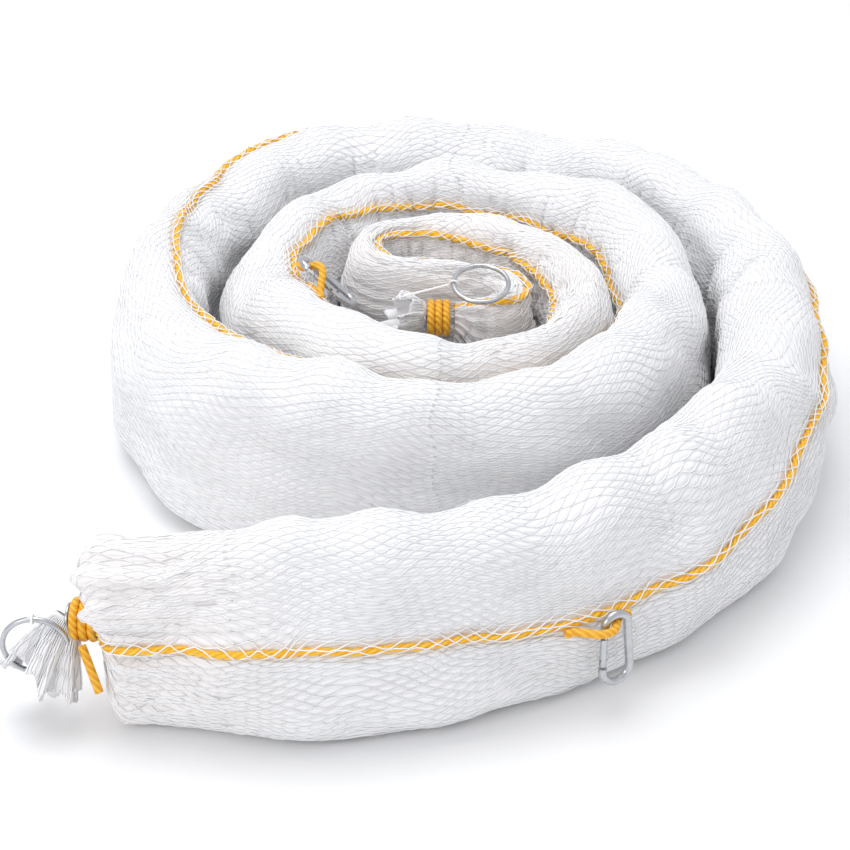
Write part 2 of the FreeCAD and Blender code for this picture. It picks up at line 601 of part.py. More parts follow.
def gathered_end(prefix, neck, axis, heading, height):
    """Tie, clip and frill beyond a cone. Returns the middle of the frill's rim."""
    turns = [hoop(neck + axis * (TIE_START + i * TIE_SPACING), axis, TIE_REACH, ROPE_RADIUS)
             for i in range(TIE_TURNS)]
    nodes[prefix + "_neck_tie"] = Part.makeCompound(turns)
    nodes[prefix + "_neck_clip"] = hoop(neck + axis * CLIP_START, axis,
                                        NECK_RADIUS + CLIP_WIRE, CLIP_WIRE)
    start = neck + axis * NECK_LENGTH - Vector(0, 0, height)
    rim = start + axis * FRILL_LENGTH
    bunched = (2 * NECK_RADIUS, height - NECK_RADIUS, height + NECK_RADIUS)
    spread = (FRILL_WIDTH, height - FRILL_HEIGHT / 2, height + FRILL_HEIGHT / 2)
    wires = [section_wire(start, heading, bunched, 0.0), section_wire(rim, heading, spread, 0.0)]
    nodes[prefix + "_net_frill"] = Part.makeLoft(wires, True, True)
    return rim + Vector(0, 0, height)


outer_rim = gathered_end("outer", outer_neck, outer_axis, ROUTE["outer_cone"].heading,
                         OUTER_NECK_HEIGHT)
inner_rim = gathered_end("inner", inner_neck, inner_axis, ROUTE["inner_cone"].heading,
                         INNER_NECK_HEIGHT)

# Free end of the rope beyond the outer tie: down and forward in front of the cone.
stub_start = (outer_neck + outer_axis * (TIE_START + TIE_SPACING)
              + outer_side * (TIE_REACH + ROPE_RADIUS + 1.0) - Vector(0, 0, 10))
stub_way = (outer_side * 0.62 - outer_axis * 0.42 - Vector(0, 0, 0.66)).normalize()
nodes["outer_rope_end"] = Part.makeCylinder(ROPE_RADIUS, STUB_LENGTH, stub_start, stub_way)

# --- rings --------------------------------------------------------------------------------------
RING_RADIUS = RING_BORE + RING_WIRE
LOOP_RADIUS = RING_WIRE + STRAND_GAP + STRAND_RADIUS
SINK = 1.0                    # how far a strand's end is sewn into the frill


def strand_loop(prefix, wire_point, wire_way, anchor):
    """Net strand looped round the ring's wire, its tail running to the frill."""
    loop = hoop(wire_point, wire_way, LOOP_RADIUS, STRAND_RADIUS)
    way = anchor - wire_point
    way = (way - wire_way * way.dot(wire_way)).normalize()
    start = wire_point + way * LOOP_RADIUS
    tail_way = anchor - start
    length = tail_way.Length + SINK
    nodes[prefix + "_ring_strand"] = loop.fuse(
        Part.makeCylinder(STRAND_RADIUS, length, start, tail_way))


# The outer ring hangs upright in front of the frill, by its top.
outer_ring_centre = (outer_rim - outer_axis * 1.5 + outer_side * (FRILL_WIDTH / 2 + 6)
                     - Vector(0, 0, 11))
nodes["outer_ring"] = hoop(outer_ring_centre, Vector(0, 1, 0), RING_RADIUS, RING_WIRE)
outer_ring_top = outer_ring_centre + Vector(0, 0, RING_RADIUS)
strand_loop("outer", outer_ring_top, Vector(1, 0, 0),
            Vector(outer_ring_top.x, outer_ring_top.y + 6, outer_ring_top.z - 1))

# The inner ring lies on the folded end, its back edge raised, held at its side.
INNER_RING_TILT = 13.0
inner_ring_centre = inner_neck + Vector(21, 2, 30)
tilt = Rotation(Vector(1, 0, 0), INNER_RING_TILT)
nodes["inner_ring"] = hoop(inner_ring_centre, tilt.multVec(Vector(0, 0, 1)), RING_RADIUS, RING_WIRE)
inner_ring_side = inner_ring_centre - Vector(RING_RADIUS, 0, 0)
inner_ring_way = tilt.multVec(Vector(0, 1, 0))
strand_loop("inner", inner_ring_side, inner_ring_way,
            inner_rim - inner_axis * 6 + Vector(0, 0, FRILL_HEIGHT / 2 - 6))
places["outer ring hinge"] = (outer_ring_top, Vector(-1, 0, 0))
places["outer ring centre"] = (outer_ring_centre, Vector(0, 1, 0))
places["inner ring hinge"] = (inner_ring_side, inner_ring_way * -1)
places["inner ring centre"] = (inner_ring_centre, tilt.multVec(Vector(0, 0, 1)))
places["coil centre"] = (COIL_CENTRE, Vector(0, 0, 1))

# --- export -------------------------------------------------------------------------------------
# The origin is the middle of the bounding box's foot.
boxes = [shape.optimalBoundingBox(False, False) for shape in nodes.values()]
low_x, high_x = min(b.XMin for b in boxes), max(b.XMax for b in boxes)
low_y, high_y = min(b.YMin for b in boxes), max(b.YMax for b in boxes)
shift = Vector(-(low_x + high_x) / 2, -(low_y + high_y) / 2, 0)
print("size", high_x - low_x, high_y - low_y, max(b.ZMax for b in boxes), "shift", shift)
for name, (place, way) in places.items():
    print(name, place + shift, way)
for name, shape in nodes.items():
    shape.translate(shift)
    shape.exportStep("parts/%s.step" % name)
    print(name, shape.isValid(), len(shape.Solids), round(shape.Volume))
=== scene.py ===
import bpy
import numpy as np
from math import cos, pi, radians, sin
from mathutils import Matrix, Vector
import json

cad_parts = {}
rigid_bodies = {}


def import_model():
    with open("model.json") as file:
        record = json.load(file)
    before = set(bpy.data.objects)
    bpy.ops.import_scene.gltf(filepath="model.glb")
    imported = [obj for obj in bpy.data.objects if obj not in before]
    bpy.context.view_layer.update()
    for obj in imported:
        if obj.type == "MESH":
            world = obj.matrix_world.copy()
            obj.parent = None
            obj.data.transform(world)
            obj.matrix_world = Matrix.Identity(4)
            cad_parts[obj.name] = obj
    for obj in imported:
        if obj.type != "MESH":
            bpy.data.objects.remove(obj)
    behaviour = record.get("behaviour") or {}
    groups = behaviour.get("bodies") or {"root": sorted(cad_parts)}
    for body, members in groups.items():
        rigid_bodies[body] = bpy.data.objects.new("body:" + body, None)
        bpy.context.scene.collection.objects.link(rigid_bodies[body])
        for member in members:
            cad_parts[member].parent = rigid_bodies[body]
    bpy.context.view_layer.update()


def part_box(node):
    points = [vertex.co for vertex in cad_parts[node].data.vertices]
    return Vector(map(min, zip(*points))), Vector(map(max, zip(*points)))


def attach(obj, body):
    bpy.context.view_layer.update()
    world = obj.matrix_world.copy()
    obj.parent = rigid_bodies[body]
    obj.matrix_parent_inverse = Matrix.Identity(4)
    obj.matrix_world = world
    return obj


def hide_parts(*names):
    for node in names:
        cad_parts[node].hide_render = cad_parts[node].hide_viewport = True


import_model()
scene = bpy.context.scene


# The inner tie's neck is where the tube starts, and everything is placed from there.
NECK_TO_CLIP = 0.0237
clip_low, clip_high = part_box("inner_neck_clip")
TUBE_START = ((clip_low.x + clip_high.x) / 2 + NECK_TO_CLIP, (clip_low.y + clip_high.y) / 2)


# --- camera ---------------------------------------------------------------------------------------
# Level with the roll's middle, a long lens looking down on it from the front.
VIEW_TARGET = Vector((TUBE_START[0] - 0.0238, TUBE_START[1] - 0.0928, 0.060))
VIEW_DISTANCE = 1.75
VIEW_DROP = radians(32)
SENSOR, LENS = 36, 94.87       # in millimetres
camera_data = bpy.data.cameras.new("camera")
camera_data.sensor_width = SENSOR
camera_data.lens = LENS
camera = bpy.data.objects.new("camera", camera_data)
scene.view_settings.view_transform = "Standard"
camera.location = VIEW_TARGET + Vector((0, -cos(VIEW_DROP), sin(VIEW_DROP))) * VIEW_DISTANCE
camera.rotation_euler = (pi / 2 - VIEW_DROP, 0, 0)
scene.collection.objects.link(camera)
scene.camera = camera


# --- fleece tube ----------------------------------------------------------------------------------
# One long tube of white spunbond fleece, blown full of loose fibre and rolled up while it was soft.
# It is slack where the fibre stops short of the ties. The inner tie's neck is the tube's start.
ALONG = 0.004                  # grid spacing along the tube
AROUND = 100                   # grid points round it

# Each stretch is (length, turn in degrees, width and height at its end, foot at its end).
COIL_RADIUS, QUARTER_GROWTH, LOOSE_GROWTH, LAST_GROWTH = 0.139, 0.0195, 0.0225, 0.017


def arc(radius, turn):
    return radius * radians(abs(turn)), turn


STRETCHES = [
    ((0.024, 0), (0.036, 0.122, 0)),
    (arc(0.026, 180), (0.036, 0.122, 0)),
    ((0.063, 0), (0.042, 0.130, 0)),
    (arc(0.034, -180), (0.042, 0.130, 0)),
    ((0.0272, 0), (0.056, 0.136, 0)),
    (arc(0.116, -90), (0.056, 0.136, 0)),
    (arc(0.1035, -90), (0.056, 0.136, 0)),
    ((0.016, 0), (0.076, 0.142, 0)),
]
for quarter in range(5):
    STRETCHES.append((arc(COIL_RADIUS + QUARTER_GROWTH * quarter, -90), (0.076, 0.142, 0)))
COIL_LAST = COIL_RADIUS + 4 * QUARTER_GROWTH
STRETCHES += [
    (arc(COIL_LAST + LOOSE_GROWTH, -90), (0.078, 0.142, 0)),
    (arc(COIL_LAST + LOOSE_GROWTH + LAST_GROWTH, -90), (0.080, 0.143, 0)),
    ((0.0329, 0), (0.086, 0.142, 0)),
    (arc(0.3411, -52), (0.090, 0.142, 0)),
    (arc(0.420, -42), (0.090, 0.142, 0)),
    ((0.062, 0), (0.080, 0.134, 0)),
    ((0.024, 0), (0.020, 0.020, 0.062)),
]
FIRST_SECTION = (0.020, 0.020, 0.094)
ENDS = np.cumsum([0.0] + [length for (length, turn), section in STRETCHES])
TUBE_LENGTH = ENDS[-1]
rows = int(round(TUBE_LENGTH / ALONG)) + 1
s = np.linspace(0, TUBE_LENGTH, rows)


def softened(values, reach, spacing=ALONG):
    """Running mean over a reach in metres along the tube, its ends held."""
    count = int(round(reach / spacing / 2)) * 2 + 1
    padded = np.pad(values, count // 2, mode="edge")
    return np.convolve(padded, np.ones(count) / count, mode="valid")


# The heading is the running sum of the turns, and the centreline the running sum of the headings.
FINE = ALONG / 8
turns = np.cumsum([0.0] + [radians(turn) for (length, turn), section in STRETCHES])
fine_s = np.linspace(0, TUBE_LENGTH, (rows - 1) * 8 + 1)
fine_heading = softened(np.interp(fine_s, ENDS, turns), 0.016, FINE)
step = TUBE_LENGTH / (rows - 1)


def running_sum(rate):
    """Sum of a rate from the start to each fine point, by the trapezium rule."""
    return np.concatenate([[0], np.cumsum((rate[1:] + rate[:-1]) / 2 * step / 8)])


centre_x = TUBE_START[0] + running_sum(np.cos(fine_heading))[::8]
centre_y = TUBE_START[1] + running_sum(np.sin(fine_heading))[::8]
heading = fine_heading[::8]
turn_rate = np.gradient(heading, step)
sections = np.array([FIRST_SECTION] + [section for stretch, section in STRETCHES])
width, height, foot = (softened(np.interp(s, ENDS, sections[:, i]), 0.012) for i in range(3))


# Beyond the fibre the outer end stays full like a bag, and goes in to the tie only at its very end.
BAG_CONE = 0.024
BAG_WIDTH, BAG_HEIGHT = 0.082, 0.135
NECK_WIDTH, NECK_FOOT = 0.020, 0.062
bag = np.clip((s - ENDS[19]) / BAG_CONE, 0, 1) ** 3.2
in_bag = s > ENDS[19] - BAG_CONE / 2
width = np.where(in_bag, NECK_WIDTH + (BAG_WIDTH - NECK_WIDTH) * (1 - bag), width)
height = np.where(in_bag, NECK_WIDTH + (BAG_HEIGHT - NECK_WIDTH) * (1 - bag), height)
foot = np.where(in_bag, NECK_FOOT * bag, foot)
width, height, foot = (softened(values, 0.008) for values in (width, height, foot))


def unit_section(top, bottom, points):
    """Closed outline one wide and one high, as equally spaced points from the foot's middle up the
    outer side, over the crown and down the inner side. Superellipse of a power above and another
    below its middle."""
    a = np.linspace(-pi / 2, 3 * pi / 2, 4001)
    power = np.where(np.sin(a) > 0, 2 / top, 2 / bottom)
    n = 0.5 * np.sign(np.cos(a)) * np.abs(np.cos(a)) ** power
    z = 0.5 + 0.5 * np.sign(np.sin(a)) * np.abs(np.sin(a)) ** power
    run = np.concatenate([[0], np.cumsum(np.hypot(np.diff(n) * 0.55, np.diff(z)))])
    place = np.linspace(0, run[-1], points, endpoint=False)
    return np.interp(place, run, n), np.interp(place, run, z)


t = np.arange(AROUND) / AROUND
unit_n, unit_z = unit_section(2.05, 3.2, AROUND)
chance = np.random.default_rng(5)


def swell(along, around, count, stretch=1.0):
    """Smooth random field over the tube: a sum of sine waves of random directions that close round
    it. along and around are the usual sizes of its lumps in metres."""
    total = np.zeros((rows, AROUND))
    for _ in range(count):
        rate = chance.normal() / along * stretch
        whole = np.round(chance.normal() * 0.39 / around)
        total += np.sin(2 * pi * (rate * s[:, None] + whole * t[None, :] + chance.random()))
    return total / np.sqrt(count / 2)


def between(value, low, high):
    """Smooth step from 0 at low to 1 at high."""
    x = np.clip((value - low) / (high - low), 0, 1)
    return x * x * (3 - 2 * x)


S, T = s[:, None], t[None, :]
packed = between(S, ENDS[7] - 0.03, ENDS[8]) * (1 - between(S, ENDS[18] - 0.05, ENDS[18] + 0.02))
inner_side = between(-unit_n, 0.1, 0.42)[None, :]
outer_side = between(unit_n, 0.1, 0.42)[None, :]
tightness = np.clip(np.abs(softened(turn_rate, 0.06)) * 0.15, 0, 1)[:, None]

# The boom slumps outwards at its foot where nothing holds it, one turn presses another aside, and
# the crown leans: (place along the tube, slump of the foot, shift of the section, lean of the crown).
SLUMPS = [
    (ENDS[7], 0.000, 0.000, 0.000), (ENDS[8], 0.000, 0.000, 0.000),
    (ENDS[9], 0.004, -0.004, 0.000), (ENDS[10], 0.004, 0.000, 0.002),
    (ENDS[11], 0.002, -0.012, 0.000), (ENDS[12], 0.006, -0.004, 0.000),
    (ENDS[12] + 0.17, 0.022, 0.004, 0.000), (ENDS[13], 0.014, 0.004, 0.000),
    (ENDS[13] + 0.19, 0.006, 0.012, 0.004), (ENDS[14], 0.002, 0.014, 0.006),
    (ENDS[14] + 0.19, 0.000, -0.002, 0.000), (ENDS[15], 0.000, -0.006, -0.002),
    (ENDS[16], 0.000, -0.008, -0.006), (ENDS[17] - 0.12, 0.000, -0.004, -0.014),
    (ENDS[17], 0.001, -0.001, -0.016), (ENDS[17] + 0.06, 0.000, -0.001, -0.013),
    (ENDS[17] + 0.16, 0.006, 0.000, -0.002), (ENDS[18], 0.004, 0.000, -0.004),
    (ENDS[19], 0.000, 0.000, 0.000),
]
slump_s, slump_n, shift_n, crown_n = np.array(SLUMPS).T
slump = softened(np.interp(s, slump_s, slump_n), 0.06)[:, None]
shift = softened(np.interp(s, slump_s, shift_n), 0.08)[:, None]
crown_shift = softened(np.interp(s, slump_s, crown_n), 0.06)[:, None]
lean = np.clip(1 - unit_z, 0, 1)[None, :] ** 1.3
crown_lean = unit_z[None, :] ** 2.5

# Creases run round the tube on the inside of each bend, where there is too much cloth for it.
crease_lines = np.exp(-(swell(0.05, 0.30, 18) / 0.20) ** 2)
fine_lines = np.exp(-(swell(0.022, 0.16, 18) / 0.24) ** 2)
long_lines = np.exp(-(swell(0.30, 0.035, 18) / 0.26) ** 2)
relief = 0.0022 * swell(0.20, 0.16, 14) * packed + 0.0009 * swell(0.07, 0.07, 14)
relief -= (0.0050 * crease_lines + 0.0010 * fine_lines) * tightness * inner_side
relief -= 0.0008 * fine_lines * (1 - packed) + 0.0020 * long_lines * (1 - packed)
relief -= 0.0004 * long_lines * outer_side
relief += 0.0003 * swell(0.018, 0.014, 20)

# Pleats run into both ties.
gathered = np.maximum(1 - between(S, 0.0, 0.045), between(S, TUBE_LENGTH - 0.07, TUBE_LENGTH - 0.01))
PLEATS = 17
relief += 0.0030 * gathered * np.sin(2 * pi * (PLEATS * T + 0.6 * swell(0.2, 0.12, 6) * 0.15))
relief *= np.where(unit_z < 0.04, 0.0, 1.0)[None, :]

span_n = unit_n[None, :] * width[:, None] + slump * lean + shift + crown_shift * crown_lean
span_z = foot[:, None] + unit_z[None, :] * height[:, None]
crown_lift = 0.004 * swell(0.14, 0.5, 8) * packed * between(unit_z, 0.5, 1.0)[None, :]
span_z = span_z + crown_lift


def normals_of(n, z):
    """Outward unit normals of closed outlines, from the run of each one round its middle."""
    dn = np.roll(n, -1, axis=1) - np.roll(n, 1, axis=1)
    dz = np.roll(z, -1, axis=1) - np.roll(z, 1, axis=1)
    size = np.hypot(dn, dz)
    return dz / size, -dn / size


normal_n, normal_z = normals_of(span_n, span_z)
span_n = span_n + relief * normal_n
span_z = np.maximum(span_z + relief * normal_z, 0.0006)


def placed(n, z, forward):
    """Points in the frame of offsets n to the coil's outer side, heights z and steps forward."""
    x = centre_x[:, None] - np.sin(heading)[:, None] * n + np.cos(heading)[:, None] * forward
    y = centre_y[:, None] + np.cos(heading)[:, None] * n + np.sin(heading)[:, None] * forward
    return np.stack([x, y, z], axis=-1)


# The empty end's upper corner stands up past the tie, and its cloth is ruffled there.
UPPER_EAR, LOWER_EAR = 0.021, 0.004
ear = between(S, TUBE_LENGTH - 0.050, TUBE_LENGTH - 0.010)
ear = ear * (1 - between(S, TUBE_LENGTH - 0.009, TUBE_LENGTH))
forward = UPPER_EAR * ear * between(unit_z, 0.50, 0.88)[None, :]
forward = forward + LOWER_EAR * ear * between(-unit_z, -0.4, 0)[None, :]
forward = forward * (1 + 0.20 * np.sin(T * 2 * pi * 9 + 1.0) + 0.12 * np.sin(T * 2 * pi * 23))
tube = placed(span_n, span_z, forward)


def grid_normals(points):
    """Unit normals of a grid that closes round its columns."""
    along = np.gradient(points, axis=0)
    around = np.roll(points, -1, axis=1) - np.roll(points, 1, axis=1)
    normal = np.cross(along, around)
    return normal / np.maximum(np.linalg.norm(normal, axis=-1, keepdims=True), 1e-12)


def add_mesh(name, vertices, faces, smooth=True):
    mesh = bpy.data.meshes.new(name)
    mesh.from_pydata(vertices.reshape(-1, 3), [], faces)
    mesh.validate()
    mesh.polygons.foreach_set("use_smooth", np.full(len(mesh.polygons), smooth))
    piece = bpy.data.objects.new(name, mesh)
    scene.collection.objects.link(piece)
    return piece


def tube_faces(count, around):
    """Quads of a tube of count rings, with its two ends closed."""
    ring = np.arange(count - 1)[:, None] * around
    here, ahead = np.arange(around), np.roll(np.arange(around), -1)
    quads = np.stack([ring + here, ring + around + here, ring + around + ahead, ring + ahead], -1)
    quads = quads.reshape(-1, 4)[:, ::-1].tolist()
    caps = [list(range(around)), list(range((count - 1) * around, count * around))[::-1]]
    return quads + caps


outwards = grid_normals(tube)
facing = np.sum(outwards[:, AROUND // 2] * np.array([0, 0, 1]), axis=-1).mean()
flip = -1.0 if facing < 0 else 1.0
outwards = outwards * flip


class Shade:
    """A socket in a material. Sums, differences, products and powers of it add Math nodes."""

    def __init__(self, paint, socket):
        self.paint, self.socket = paint, socket

    def math(self, operation, first, second=0.0):
        return self.paint.node("Math", {"operation": operation}, {0: first, 1: second})

    def __add__(self, other):
        return self.math("ADD", self, other)

    def __sub__(self, other):
        return self.math("SUBTRACT", self, other)

    def __rsub__(self, other):
        return self.math("SUBTRACT", other, self)

    def __mul__(self, other):
        return self.math("MULTIPLY", self, other)

    def __pow__(self, other):
        return self.math("POWER", self, other)

    __radd__ = __add__
    __rmul__ = __mul__


class Paint:
    """One material. node() adds any node, with its settings first and then its inputs."""

    def __init__(self, name):
        self.material = bpy.data.materials.new(name)
        self.material.use_nodes = True
        self.tree = self.material.node_tree
        self.shader = self.tree.nodes["Principled BSDF"]

    def put(self, socket, value):
        if isinstance(value, Shade):
            self.tree.links.new(value.socket, socket)
        else:
            socket.default_value = value

    def node(self, kind, settings, inputs, output=0):
        added = self.tree.nodes.new("ShaderNode" + kind)
        for name, value in settings.items():
            setattr(added, name, value)
        for name, value in inputs.items():
            self.put(added.inputs[name], value)
        return Shade(self, added.outputs[output])

    def finish(self, **inputs):
        for name, value in inputs.items():
            self.put(self.shader.inputs[name.replace("_", " ")], value)
        return self.material


def colour(r, g, b):
    return r, g, b, 1.0


def blend_colours(paint, share, first, second):
    return paint.node("Mix", {"data_type": "RGBA"}, {0: share, 6: first, 7: second}, 2)


def noise(paint, where, scale, detail=2.0, rough=0.5):
    return paint.node("TexNoise", {}, {"Vector": where, "Scale": scale, "Detail": detail,
                                       "Roughness": rough})


CELL = 0.017                   # length of a mesh of the net
STRANDS = 132                  # strands round the net

fleece = Paint("fleece")
here = fleece.node("TexCoord", {}, {}, 3)
mesh_place = fleece.node("UVMap", {"uv_map": "meshes"}, {})
parts_of = fleece.node("SeparateXYZ", {}, {0: mesh_place})
across = Shade(fleece, parts_of.socket.node.outputs[1])
wave_along = fleece.node("Math", {"operation": "COSINE"}, {0: (parts_of - 0.25) * (2 * pi)})
wave_across = fleece.node("Math", {"operation": "COSINE"}, {0: across * (2 * pi)})
pillow = fleece.node("Math", {"operation": "MAXIMUM"}, {0: wave_along * wave_across, 1: 0.0}) ** 0.6
slack_share = fleece.node("Attribute", {"attribute_name": "slack"}, {}, 2)
cloudy = noise(fleece, here, 14.0, 3.0)
fibres = noise(fleece, here, 420.0, 4.0, 0.65)
clumps = noise(fleece, here, 95.0, 3.0, 0.6)
body_colour = blend_colours(fleece, cloudy, colour(0.97, 0.965, 0.955), colour(0.93, 0.93, 0.945))
# Painted shade: the fleece is painted grey in the hollows between its pillows, along the net's strands,
# where shade falls.
body_colour = blend_colours(fleece, pillow * 0.6 + 0.3, colour(0.84, 0.83, 0.84), body_colour)
# Painted light: a warm tint on the slack, empty cloth, standing in for light shining through the thin
# fleece.
body_colour = blend_colours(fleece, slack_share * 0.45, body_colour, colour(0.92, 0.85, 0.81))
relief_height = pillow * 1.0 + fibres * 0.20 + clumps * 0.25
bumps = fleece.node("Bump", {}, {"Strength": 0.55, "Distance": 0.0012, "Height": relief_height})
fleece.finish(Base_Color=body_colour, Roughness=0.92, Normal=bumps, Sheen_Weight=0.15)

# The net's pattern wanders over the fleece: warp moves it along and round the tube.
warp_along = 0.0050 * swell(0.16, 0.14, 12) + 0.0010 * swell(0.06, 0.07, 12)
warp_round = (0.0040 * swell(0.16, 0.14, 12) + 0.0010 * swell(0.06, 0.08, 12)) / 0.39
warp_round += 0.05 * np.sin(S * 2.1)

sock = add_mesh("fleece_tube", tube, tube_faces(rows, AROUND))
sock.data.materials.append(fleece.material)
pattern = np.stack([(S + warp_along) / CELL, (T + warp_round) * STRANDS / 2], -1)
uv = sock.data.uv_layers.new(name="meshes")
corner_vertices = np.zeros(len(sock.data.loops), dtype=np.int64)
sock.data.loops.foreach_get("vertex_index", corner_vertices)
uv_values = pattern.reshape(-1, 2)[corner_vertices]
polygon_starts = np.zeros(len(sock.data.polygons), dtype=np.int64)
polygon_sizes = np.zeros(len(sock.data.polygons), dtype=np.int64)
sock.data.polygons.foreach_get("loop_start", polygon_starts)
sock.data.polygons.foreach_get("loop_total", polygon_sizes)
first_v = np.repeat(uv_values[polygon_starts, 1], polygon_sizes)
order = np.argsort(np.repeat(polygon_starts, polygon_sizes), kind="stable")
whole_turns = np.round((first_v - uv_values[order, 1]) / (STRANDS / 2))
uv_values[:, 1] += whole_turns[np.argsort(order)] * STRANDS / 2
uv.data.foreach_set("uv", uv_values.ravel())
# Share of slack cloth, which gets the painted warm tint of light shining through the thin fleece.
slack = sock.data.attributes.new("slack", "FLOAT", "POINT")
slack_values = (1 - packed) * np.ones((1, AROUND))
slack.data.foreach_set("value", slack_values.ravel())
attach(sock, "boom")
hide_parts("inner_sock", "sorbent_core")


# --- tow rope -------------------------------------------------------------------------------------
# Yellow laid polypropylene rope of three strands, 6 mm thick. It lies between the fleece and the net
# and wanders from the outer face over the crown to the inner shoulder.
ROPE_RADIUS = 0.003
ROPE_STRAND = 0.00155
ROPE_LAY = 0.021               # length of one turn of its strands


def on_grid(grid, row, column):
    """Value of a grid that closes round its columns, between its points."""
    row = np.clip(row, 0, len(grid) - 1.0001)
    r, c = np.floor(row).astype(int), np.floor(column).astype(int)
    fr, fc = (row - r)[..., None], (column - c)[..., None]
    c0, c1 = c % grid.shape[1], (c + 1) % grid.shape[1]
    low = grid[r, c0] * (1 - fc) + grid[r, c1] * fc
    high = grid[r + 1, c0] * (1 - fc) + grid[r + 1, c1] * fc
    return low * (1 - fr) + high * fr


crown_index = int(np.argmax(unit_z))


def outer_place(level):
    """Place round the section of a level on the outer side, as a share of the height."""
    return np.interp(level, unit_z[:crown_index], t[:crown_index])


def inner_place(level):
    return 1.0 - outer_place(level)


# (place along the tube, place round the section)
ROPE_ROUTE = [
    (0.006, 0.50), (0.030, 0.54), (ENDS[2], inner_place(0.90)), (ENDS[3], inner_place(0.95)),
    (ENDS[4], inner_place(0.96)), (ENDS[5], inner_place(0.90)), (ENDS[6], inner_place(0.80)),
    (ENDS[8], inner_place(0.80)), (ENDS[9], inner_place(0.95)), (ENDS[10], inner_place(0.82)),
    (ENDS[11], inner_place(0.72)), (ENDS[12], inner_place(0.84)), (ENDS[13], inner_place(0.97)),
    (ENDS[13] + 0.10, 0.50), (ENDS[13] + 0.19, outer_place(0.96)), (ENDS[14], outer_place(0.80)),
    (ENDS[15] - 0.10, outer_place(0.76)), (ENDS[15], outer_place(0.74)),
    (ENDS[16], outer_place(0.73)), (ENDS[17] - 0.20, outer_place(0.70)),
    (ENDS[17] - 0.08, outer_place(0.60)), (ENDS[17] + 0.02, outer_place(0.51)),
    (ENDS[17] + 0.08, outer_place(0.50)), (ENDS[17] + 0.18, outer_place(0.58)),
    (ENDS[18] - 0.03, outer_place(0.60)), (ENDS[19] - 0.02, outer_place(0.58)),
    (TUBE_LENGTH - 0.004, outer_place(0.58)),
]
route_s, route_t = np.array(ROPE_ROUTE).T
rope_t = softened(np.interp(s, route_s, route_t), 0.10)
rope_t = rope_t + 0.0018 * np.sin(s * 61) + 0.0012 * np.sin(s * 143 + 1)


def laid_rope(name, path, side, up):
    """Three round strands wound about a path. side and up are unit directions across it."""
    run = np.concatenate([[0], np.cumsum(np.linalg.norm(np.diff(path, axis=0), axis=1))])
    sides = 8
    ring = np.linspace(0, 2 * pi, sides, endpoint=False)
    vertices, faces = [], []
    for strand in range(3):
        a = 2 * pi * (run / ROPE_LAY + strand / 3)
        wound = np.cos(a)[:, None] * side + np.sin(a)[:, None] * up
        centre = path + (ROPE_RADIUS - ROPE_STRAND) * wound
        tangent = np.gradient(centre, axis=0)
        tangent /= np.linalg.norm(tangent, axis=1, keepdims=True)
        across = np.cross(tangent, up)
        across /= np.linalg.norm(across, axis=1, keepdims=True)
        over = np.cross(across, tangent)
        wide = centre[:, None] + ROPE_STRAND * (np.cos(ring)[None, :, None] * across[:, None]
                                                + np.sin(ring)[None, :, None] * over[:, None])
        offset = strand * len(path) * sides
        vertices.append(wide.reshape(-1, 3))
        faces += [[i + offset for i in face] for face in tube_faces(len(path), sides)]
    piece = add_mesh(name, np.concatenate(vertices), faces)
    uv_map(piece, np.tile(np.repeat(run, sides), 3), np.tile(ring / (2 * pi), 3 * len(path)))
    return piece


def uv_map(piece, u, v):
    """Writes the piece's own UV map, named way, from a value along and a value round each vertex."""
    layer = piece.data.uv_layers.new(name="way")
    corners = np.zeros(len(piece.data.loops), dtype=np.int64)
    piece.data.loops.foreach_get("vertex_index", corners)
    layer.data.foreach_set("uv", np.stack([u[corners], v[corners]], -1).ravel())


rope_row = np.arange(0, rows - 1, 0.5)
rope_column = np.interp(rope_row, np.arange(rows), rope_t) * AROUND
rope_surface = on_grid(tube, rope_row, rope_column)
rope_up = on_grid(outwards, rope_row, rope_column)
rope_up /= np.linalg.norm(rope_up, axis=1, keepdims=True)
rope_path = rope_surface + rope_up * (ROPE_RADIUS * 0.55)
rope_way = np.gradient(rope_path, axis=0)
rope_side = np.cross(rope_way, rope_up)
rope_side /= np.linalg.norm(rope_side, axis=1, keepdims=True)

rope_paint = Paint("yellow_rope")
rope_here = rope_paint.node("UVMap", {"uv_map": "way"}, {})
filaments = rope_paint.node("TexNoise", {}, {
    "Vector": rope_paint.node("Mapping", {}, {"Vector": rope_here, "Scale": (160, 26, 1)}),
    "Scale": 1.0, "Detail": 2.0})
rope_colour = blend_colours(rope_paint, filaments, colour(0.96, 0.42, 0.01), colour(1.0, 0.66, 0.05))
rope_bump = rope_paint.node("Bump", {}, {"Strength": 0.5, "Distance": 0.0004, "Height": filaments})
rope_paint.finish(Base_Color=rope_colour, Roughness=0.42, Normal=rope_bump)

rope = laid_rope("rope_under_net", rope_path, rope_side, rope_up)
rope.data.materials.append(rope_paint.material)
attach(rope, "boom")
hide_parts("tow_rope", "tow_rope_outer_end", "tow_rope_inner_end")


# --- net ------------------------------------------------------------------------------------------
# Knitted polypropylene net, one seamless tube of zigzag strands that meet side by side at each knot.
# It is drawn over the fleece and the rope, and stretches and bunches with them.
NET_STRAND = 0.00052           # half the width of a strand
NET_SIDES = 3
POINTS_PER_CELL = 6
net_paint = Paint("white_net")
net_here = net_paint.node("TexCoord", {}, {}, 3)
net_shine = noise(net_paint, net_here, 60.0, 2.0)
net_colour = blend_colours(net_paint, net_shine, colour(0.99, 0.99, 0.99), colour(0.95, 0.95, 0.96))
net_paint.finish(Base_Color=net_colour, Roughness=0.48)


